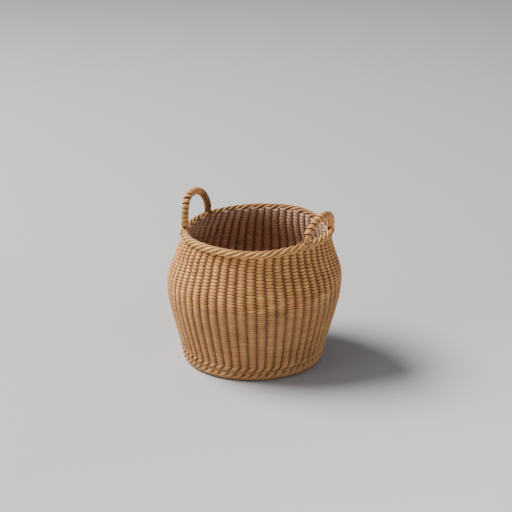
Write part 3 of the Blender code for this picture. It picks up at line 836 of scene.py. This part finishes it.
def weaver(number, first_row, last_row):
    """One skein of the side weave, passing before one stake and behind the next as it winds upward."""
    start = (first_row - number) / 2 * STAKE_COUNT
    end = (last_row - number) / 2 * STAKE_COUNT
    column = np.arange(round(start * STEPS_PER_COLUMN), round(end * STEPS_PER_COLUMN) + 1) / STEPS_PER_COLUMN
    row = 2 * column / STAKE_COUNT + number
    angle = (column + FIRST_COLUMN) * COLUMN_STEP
    seed_shift = SKEIN_SEED_STEP * number

    ragged = wander(CHANGE_WANDER, np.round(column + FIRST_COLUMN) * COLUMN_STEP)
    coarse = np.clip((row + ragged - LOWER_ROW_COUNT) / CHANGE_ROW_COUNT + 0.5, 0, 1)
    wave = np.sin(math.pi * column) * (1 if number == 0 else -1)
    outside_wave = eased(wave, blend(FINE_WAVE_CURVE, COARSE_WAVE_CURVE, coarse))
    side = np.where(wave > 0, outside_wave, eased(wave, INSIDE_WAVE_CURVE))
    inside = np.clip(-side, 0, 1)
    thickness = blend(FINE_THICKNESS, COARSE_THICKNESS, coarse)
    spread = blend(blend(FINE_SPREAD_SHARE, COARSE_SPREAD_SHARE, coarse), INSIDE_SPREAD_SHARE, inside)
    squareness = blend(blend(FINE_SQUARENESS, COARSE_SQUARENESS, coarse), INSIDE_SQUARENESS, inside)

    height = row_height(row)
    pitch = (row_height(row + 1) - row_height(row - 1)) / 2
    height = height + wander(ROW_WANDER, angle + height * ROW_WANDER_TWIST)
    height = height + wander(SKEIN_HEIGHT_WANDER, column, seed_shift)
    turned = angle + column_lean(height)
    reach = WEAVE_DEPTH / 2 - thickness / 2 + wander(SKEIN_DEPTH_WANDER, column, seed_shift)
    points = placed(stake_radius(height) + reach * side, turned, height)
    above = placed(stake_radius(height + pitch), turned, height + pitch)
    below = placed(stake_radius(height - pitch), turned, height - pitch)
    beads = 1 + wander(SKEIN_WIDTH_WANDER, column, seed_shift)
    half_width = pitch * (CROSSING_SHARE + spread * np.abs(side) ** SPREAD_CURVE * beads)
    half_thickness = thickness / 2 * (1 + wander(SKEIN_THICKNESS_WANDER, column, seed_shift))
    shade_share = blend(FINE_SHADE_SHARE, COARSE_SHADE_SHARE, coarse)
    shown = blend(1.0, np.abs(side) ** SHADE_CURVE, shade_share)
    lined = blend(1.0, CREST_LINED, np.abs(side))
    return Strand(
        points, unit(above - below), half_width, half_thickness, squareness, shown=shown, lined=lined,
    )


def make_side_weave(looks):
    """Two skeins up the wall, each cut into two pieces for the fine rows and one for the coarse ones."""
    half_row = LOWER_ROW_COUNT // 2
    top_row = LOWER_ROW_COUNT + UPPER_ROW_COUNT
    bands = (
        ("lower_a", -ROWS_BELOW_COUNT, half_row, "fine_skein", "side_weave_lower"),
        ("lower_b", half_row, LOWER_ROW_COUNT, "fine_skein", "side_weave_lower"),
        ("upper", LOWER_ROW_COUNT, top_row + ROWS_ABOVE_COUNT, "skein", "side_weave_upper"),
    )
    for band, first, last, slot, node in bands:
        for number in (0, 1):
            strand = weaver(number, first + number, last + number)
            add_piece(f"side_weaver_{band}_{number + 1}", [strand], looks, slot, node)


class Ring:
    """A ring that strands lie round: its middle, half sizes, flare with height and roundness."""

    def __init__(self, radius, height, half_out, half_up, flare=0.0, roundness=1.0, low_roundness=None):
        self.radius = radius
        self.height = height
        self.half_out = half_out
        self.half_up = half_up
        self.flare = flare
        self.roundness = roundness
        self.low_roundness = low_roundness or roundness

    def places(self, around, inset):
        """Radius and height on the ring's section, at a depth below its surface."""
        power = np.where(np.sin(around) < 0, self.low_roundness, self.roundness)
        level = (self.half_up - inset) * eased(np.sin(around), power)
        out = (self.half_out - inset) * eased(np.cos(around), power) + self.flare * level
        return self.radius + out, self.height + level


def rope(ring, strand_count, half_width, half_thickness, phase, rod_count=1, sink=0.0, pinch=0.0, holes=(),
         low_shade=0.0):
    """Strands of a few rods each, laid round a ring of the basket with one stroke for each stake."""
    loops = math.gcd(STAKE_COUNT, strand_count)
    rounds = strand_count // loops
    column = np.arange(STAKE_COUNT * rounds * ROPE_STEPS) / ROPE_STEPS
    places = column * math.tau / STAKE_COUNT
    rods = []
    for number in range(loops):
        for rod in range(rod_count):
            shift = ROD_SHARE * (rod - (rod_count - 1) / 2) / rod_count
            around = math.tau * (column + number + shift) / strand_count + phase
            around = around + wander(ROPE_TURN_WANDER, places)
            around = around + wander(ROD_TURN_WANDER, places, ROD_TURN_SEED_STEP * number + rod)
            off_middle = abs(rod - (rod_count - 1) / 2) / max(rod_count - 1, 1) * 2
            inset = half_thickness + sink * off_middle
            out, level = ring.places(around, inset)
            angle = column * COLUMN_STEP + column_lean(level)
            points = placed(out, angle, level)
            inner_out, inner_level = ring.places(around, inset + half_thickness)
            outward = points - placed(inner_out, angle, inner_level)
            across = unit(np.cross(closed_directions(points), unit(outward)))
            wide = half_width * (1 + wander(ROD_WIDTH_WANDER, places, ROD_WIDTH_SEED_STEP * number + rod))
            wide = wide * (1 - pinch * (1 - np.cos(around)) / 2)
            sunk_shade = SUNK_ROD_SHADE * off_middle if sink else 0.0
            shown = 1.0 - sunk_shade - low_shade * np.clip(-np.sin(around), 0, 1)
            lined = np.full_like(around, STROKE_LINED if holes else 1.0)
            for hole in holes:
                away = (around - math.radians(hole) + math.pi) % math.tau - math.pi
                near = np.exp(-(away * strand_count / math.tau / HOLE_REACH_SHARE) ** 2)
                shown = shown - HOLE_SHADE * near
                lined = lined + HOLE_LINED * near
                wide = wide * (1 - HOLE_NARROWING_SHARE * near)
            rods.append(Strand(
                points, across, wide, half_thickness, ROD_SQUARENESS, closed=True, shown=shown, lined=lined,
            ))
    return rods


def core_ring(radius, height, half_height, half_thickness):
    """A ring behind the strands, where the ends of the rods lie, darkened with painted shade so that the gaps
    between the strands read dark.
    """
    angle = np.arange(STAKE_COUNT * CORE_STEPS_PER_COLUMN) * COLUMN_STEP / CORE_STEPS_PER_COLUMN
    points = placed(radius, angle, height)
    upward = np.array([[0.0, 0.0, 1.0]])
    return Strand(points, upward, half_height, half_thickness, CORE_SQUARENESS, closed=True, shown=CORE_SHOWN)


def make_rim(looks):
    """The rim: strands of three rods twisted round a core."""
    ring = Ring(RIM_RADIUS, RIM_HEIGHT, RIM_HALF_WIDTH, RIM_HALF_HEIGHT)
    rods = rope(
        ring, RIM_STRAND_COUNT, RIM_ROD_HALF_WIDTH, RIM_ROD_HALF_THICKNESS, RIM_PHASE,
        rod_count=RIM_ROD_COUNT, sink=RIM_ROD_SINK,
    )
    rods.append(core_ring(RIM_RADIUS, RIM_HEIGHT, RIM_CORE_REACH, RIM_CORE_REACH))
    add_piece("rim_strands", rods, looks, "rim_skein", "rim_border", RIM_SIDES, RIM_INNER_RADIUS)


def make_foot_border(looks):
    """The rolled border that the basket stands on: single strokes that go into a row of holes."""
    ring = Ring(
        BORDER_RADIUS, BORDER_HEIGHT, BORDER_HALF_OUT, BORDER_HALF_UP,
        BORDER_FLARE, BORDER_ROUNDNESS, BORDER_LOW_ROUNDNESS,
    )
    rods = rope(
        ring, BORDER_STRAND_COUNT, BORDER_STROKE_HALF_WIDTH, BORDER_STROKE_HALF_THICKNESS, BORDER_PHASE,
        holes=BORDER_HOLES, low_shade=BORDER_LOW_SHADE,
    )
    rods.append(core_ring(BORDER_RADIUS, BORDER_CORE_HEIGHT, BORDER_CORE_REACH, BORDER_CORE_REACH))
    add_piece("foot_border_strands", rods, looks, "foot_skein", "foot_border", FOOT_SIDES)


def make_foot_wale(looks):
    """The slanted course above the border: strokes that come out of one row of holes and go into another."""
    ring = Ring(WALE_RADIUS, WALE_HEIGHT, WALE_HALF_OUT, WALE_HALF_UP, WALE_FLARE, WALE_ROUNDNESS)
    rods = rope(
        ring, WALE_STRAND_COUNT, WALE_STROKE_HALF_WIDTH, WALE_STROKE_HALF_THICKNESS, WALE_PHASE,
        pinch=WALE_PINCH_SHARE, holes=WALE_HOLES,
    )
    rods.append(core_ring(
        WALE_CORE_RADIUS, WALE_CORE_HEIGHT, WALE_CORE_HALF_HEIGHT, WALE_CORE_HALF_THICKNESS,
    ))
    add_piece("foot_wale_strands", rods, looks, "foot_skein", "foot_wale", FOOT_SIDES)


def make_base(looks):
    """The floor: two skeins wound outward side by side, over and under one spoke for each bent rod."""
    low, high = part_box("base_weave")
    level = (low.z + high.z) / 2
    reach = (high.x - low.x) / 2 - BASE_EDGE_GAP
    spokes = STAKE_COUNT // 2
    turns = int((reach - BASE_HUB_RADIUS) / BASE_PITCH / 2)
    strands = []
    for number in (0, 1):
        count = np.arange(turns * spokes * BASE_STEPS_PER_SPOKE + 1) / BASE_STEPS_PER_SPOKE
        radius = BASE_HUB_RADIUS + BASE_PITCH * (2 * count / spokes + number)
        angle = 2 * count * COLUMN_STEP
        wave = eased(np.sin(math.pi * count), BASE_WAVE_CURVE) * (1 if number == 0 else -1)
        lift = BASE_LIFT * wave * np.clip(radius / reach * BASE_LIFT_GROWTH, BASE_LEAST_LIFT_SHARE, 1)
        points = placed(radius, angle, level)
        points[:, 2] += lift
        outward = np.stack([np.cos(angle), np.sin(angle), np.zeros_like(angle)], axis=1)
        half_width = BASE_PITCH * (BASE_CROSSING_SHARE + BASE_SPREAD_SHARE * np.abs(wave))
        shown = blend(BASE_SHOWN_AT_CROSSING, 1.0, np.abs(wave))
        strands.append(Strand(
            points, outward, half_width, BASE_HALF_THICKNESS, BASE_SQUARENESS, shown=shown, lined=BASE_LINED,
        ))
    add_piece("base_rounds", strands, looks, "base_weave", "base_weave")


class Handle:
    """One bow: an arch between two feet on the rim, as the solids have it."""

    def __init__(self, name, columns, rise, lean, skew, turns, shown):
        self.name = name
        self.columns = columns
        self.rise = rise
        self.skew = skew
        self.turns = turns
        self.shown = shown
        angles = np.array(columns) * COLUMN_STEP
        heights = np.full(len(columns), RIM_HEIGHT)
        feet = np.stack([RIM_RADIUS * np.cos(angles), RIM_RADIUS * np.sin(angles), heights], axis=1)
        self.center = feet.mean(axis=0)
        self.half_chord = (feet[1] - feet[0]) / 2
        outward = np.array([math.cos(angles.mean()), math.sin(angles.mean()), 0.0])
        self.up = np.array([0.0, 0.0, math.cos(lean)]) + outward * math.sin(lean)

    def arch(self, turn):
        across = eased(np.cos(turn), ARCH_ROUNDNESS_SHARE)[:, None]
        over = (np.abs(np.sin(turn)) ** ARCH_ROUNDNESS_SHARE)[:, None]
        slide = unit(self.half_chord[None, :]) * self.skew * over ** 2
        return settled(self.center - self.half_chord * across + self.up * self.rise * over + slide)

    def fine_arch(self):
        return self.arch(math.pi * np.arange(FINE_STEP_COUNT + 1) / FINE_STEP_COUNT)

    def normal(self):
        """The way across the plane of the bow."""
        start, top, end = self.arch(np.array([0.0, math.pi / 2, math.pi]))
        return unit(np.cross(end - start, top - start)[None, :])


def bow_rod(handle):
    """The rod of a bow, from inside the rim at one foot to inside the rim at the other."""
    points = handle.fine_arch()[::BOW_STEP_SPACING]
    return Strand(points, handle.normal(), BOW_RADIUS, BOW_RADIUS, squareness=1.0, shown=BOW_SHOWN)


def bow_wrap(handle):
    """One flat skein wound closely round the bow between its feet."""
    path = handle.fine_arch()
    clear = (path[:, 2] - path[0, 2] > WRAP_START_HEIGHT) & (path[:, 2] - path[-1, 2] > WRAP_START_HEIGHT)
    first, last = np.flatnonzero(clear)[[0, -1]]
    path = path[first:last + 1]
    lengths = np.concatenate([[0.0], np.cumsum(np.linalg.norm(np.diff(path, axis=0), axis=1))])
    steps = handle.turns * WRAP_STEPS_PER_TURN
    turns = np.arange(steps + 1) / WRAP_STEPS_PER_TURN
    distance = lengths[-1] * np.arange(steps + 1) / steps
    center = np.stack([np.interp(distance, lengths, path[:, axis]) for axis in range(3)], axis=1)
    along = open_directions(center)
    side = unit(np.cross(handle.normal(), along))
    turn = math.tau * np.arange(steps + 1)[:, None] / WRAP_STEPS_PER_TURN
    outward = side * np.cos(turn) + np.cross(along, side) * np.sin(turn)
    wobble = 1 + wander(WRAP_REACH_WANDER, turns)
    points = center + outward * WRAP_REACH * wobble[:, None]
    width_way = unit(np.cross(outward, open_directions(points)))
    half_width = lengths[-1] / handle.turns / 2 * WRAP_WIDTH_SHARE
    half_width = half_width * (1 + wander(WRAP_WIDTH_WANDER, turns))
    # Painted shade that eases from the first foot's shown mark to the last foot's, darkening the leg that
    # lies in shade
    changed = np.clip((distance / lengths[-1] - WRAP_CHANGE_START_SHARE) / WRAP_CHANGE_REACH_SHARE, 0, 1)
    shown = blend(*handle.shown, changed)
    return Strand(points, width_way, half_width, WRAP_HALF_THICKNESS, WRAP_SQUARENESS, shown=shown)


def closed_curve(corners):
    """Points of a smooth closed line through corners."""
    corners = np.asarray(corners)
    count = len(corners)
    share = (np.arange(LASHING_STEPS) / LASHING_STEPS)[:, None]
    places = []
    for index in range(count):
        before, start, end, after = [corners[(index + shift) % count] for shift in (-1, 0, 1, 2)]
        places.append(0.5 * (
            2 * start + (end - before) * share
            + (2 * before - 5 * start + 4 * end - after) * share ** 2
            + (3 * start - before - 3 * end + after) * share ** 3
        ))
    return np.concatenate(places)


def lashing_loop(handle, end, reach_columns, cross_height):
    """A skein closed round the rim either side of a foot, which it crosses outside and inside."""
    fine = handle.fine_arch() if end == 0 else handle.fine_arch()[::-1]
    crossing = fine[np.argmax(fine[:, 2] - fine[0, 2] > cross_height)]
    angle = handle.columns[end] * COLUMN_STEP
    outward = np.array([math.cos(angle), math.sin(angle), 0.0])
    upward = np.array([0.0, 0.0, 1.0])
    reach_out = RIM_HALF_WIDTH - LASHING_HALF_THICKNESS / 4
    reach_up = RIM_HALF_HEIGHT - LASHING_HALF_THICKNESS / 4
    clear = BOW_RADIUS + LASHING_CLEARANCE + LASHING_HALF_THICKNESS
    corners = []
    faces = []

    def add_quarter(side, face, order):
        """Corners on one side of the foot and one face of the rim, from below the rim or toward it."""
        for share, degrees in LASHING_QUARTER[::order]:
            turn = math.radians(degrees if face > 0 else 180 - degrees)
            beside = angle + side * share * reach_columns * COLUMN_STEP
            radius = RIM_RADIUS + reach_out * math.cos(turn)
            corners.append(placed([radius], beside, RIM_HEIGHT + reach_up * math.sin(turn))[0])
            faces.append(outward * math.cos(turn) + upward * math.sin(turn))

    def add_crossing(way):
        corners.append(crossing + way * clear)
        faces.append(way)

    add_quarter(1, 1, 1)
    add_crossing(outward)
    add_quarter(-1, 1, -1)
    add_quarter(-1, -1, 1)
    add_crossing(-outward)
    add_quarter(1, -1, -1)
    points = closed_curve(corners)
    width_way = unit(np.cross(unit(closed_curve(faces)), closed_directions(points)))
    shown = handle.shown[end] + LASHING_SHOWN_GAIN
    return Strand(
        points, width_way, LASHING_HALF_WIDTH, LASHING_HALF_THICKNESS, LASHING_SQUARENESS,
        closed=True, shown=shown,
    )


def make_handles(looks):
    """Both bows with their wraps, and a lashing of three loops at each foot."""
    handles = (
        Handle("near", NEAR_COLUMNS, NEAR_RISE, NEAR_LEAN, NEAR_SKEW, NEAR_TURN_COUNT, NEAR_SHOWN),
        Handle("far", FAR_COLUMNS, FAR_RISE, FAR_LEAN, FAR_SKEW, FAR_TURN_COUNT, FAR_SHOWN),
    )
    for handle in handles:
        bow = f"handle_bow_{handle.name}"
        add_piece(f"{bow}_rod", [bow_rod(handle)], looks, "handle_rod", bow, HANDLE_SIDES)
        wrap = f"handle_wrap_{handle.name}"
        add_piece(f"{wrap}_skein", [bow_wrap(handle)], looks, "handle_skein", wrap, HANDLE_SIDES)
        for end in (0, 1):
            loops = [lashing_loop(handle, end, *loop) for loop in LASHING_LOOPS]
            lashing = f"handle_lashing_{handle.name}_{end + 1}"
            add_piece(f"{lashing}_skein", loops, looks, "handle_skein", lashing, HANDLE_SIDES)


def dress_solids(looks):
    """Gives the solids the looks of their slots, since the stakes and the base sticks stay in sight."""
    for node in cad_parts.values():
        slot = node.material_slots[0]
        if slot.material.name in looks:
            slot.material = looks[slot.material.name]


def make_stage():
    """Pale paper that the basket stands on. Its tone changes with the distance and toward the right, as
    painted light.
    """
    bpy.ops.mesh.primitive_plane_add(size=FLOOR_SIZE)
    floor = bpy.context.object
    floor.name = "floor"
    nodes = Nodes("pale paper")
    turned = nodes.mapping(nodes.object_place(), turn=-CAMERA_TURN)
    parts = nodes.add("ShaderNodeSeparateXYZ")
    nodes.link(turned, parts.inputs[0])
    right, away = parts.outputs["X"], parts.outputs["Y"]
    color = nodes.ramp(nodes.remap(away, *FLOOR_DEPTH_RANGE, 0.0, 1.0), *FLOOR_STOPS)
    color = nodes.times(color, nodes.remap(right, *FLOOR_SIDE_RANGE, *FLOOR_SIDE_GAIN))
    corner = nodes.math("SUBTRACT", right, away)
    color = nodes.times(color, nodes.remap(corner, *FLOOR_CORNER_RANGE, *FLOOR_CORNER_GAIN))
    floor.data.materials.append(nodes.surface(color, FLOOR_ROUGHNESS, FLOOR_GLOSS))


def from_camera(right, away, up):
    """A place given as the photograph sees it: to the right, away from the camera, and up."""
    return (
        right * math.cos(CAMERA_TURN) - away * math.sin(CAMERA_TURN),
        right * math.sin(CAMERA_TURN) + away * math.cos(CAMERA_TURN),
        up,
    )


def aimed(way):
    """The turn that makes a light or a camera look along a way."""
    return Vector(way).to_track_quat("-Z", "Y").to_euler()


def add_light(name, place, size, power, color):
    """An oval light at a place given as the photograph sees it, aimed at the basket."""
    lamp = bpy.data.lights.new(name, "AREA")
    lamp.shape = "ELLIPSE"
    lamp.size, lamp.size_y = size
    lamp.energy = power
    lamp.color = color
    light = bpy.data.objects.new(name, lamp)
    light.location = from_camera(*place)
    light.rotation_euler = aimed(Vector(LIGHT_AIM) - Vector(from_camera(*place)))
    bpy.context.scene.collection.objects.link(light)


def make_lights():
    world = bpy.data.worlds.new("studio")
    bpy.context.scene.world = world
    world.use_nodes = True
    background = world.node_tree.nodes["Background"]
    background.inputs["Color"].default_value = (*SKY_COLOR, 1.0)
    background.inputs["Strength"].default_value = SKY_STRENGTH
    add_light("key", KEY_PLACE, KEY_SIZE, KEY_POWER, KEY_COLOR)
    add_light("left fill", LEFT_FILL_PLACE, LEFT_FILL_SIZE, LEFT_FILL_POWER, LEFT_FILL_COLOR)
    add_light("right fill", RIGHT_FILL_PLACE, RIGHT_FILL_SIZE, RIGHT_FILL_POWER, RIGHT_FILL_COLOR)


def make_camera():
    data = bpy.data.cameras.new("camera")
    data.lens = CAMERA_LENS
    data.sensor_width = CAMERA_SENSOR
    data.clip_start = CAMERA_NEAREST
    data.clip_end = CAMERA_FARTHEST
    camera = bpy.data.objects.new("camera", data)
    camera.location = CAMERA_PLACE
    camera.rotation_euler = aimed(CAMERA_AHEAD)
    bpy.context.scene.collection.objects.link(camera)
    bpy.context.scene.camera = camera


looks = make_looks()
make_camera()
make_lights()
make_stage()
dress_solids(looks)
make_side_weave(looks)
make_rim(looks)
make_foot_border(looks)
make_foot_wale(looks)
make_base(looks)
make_handles(looks)
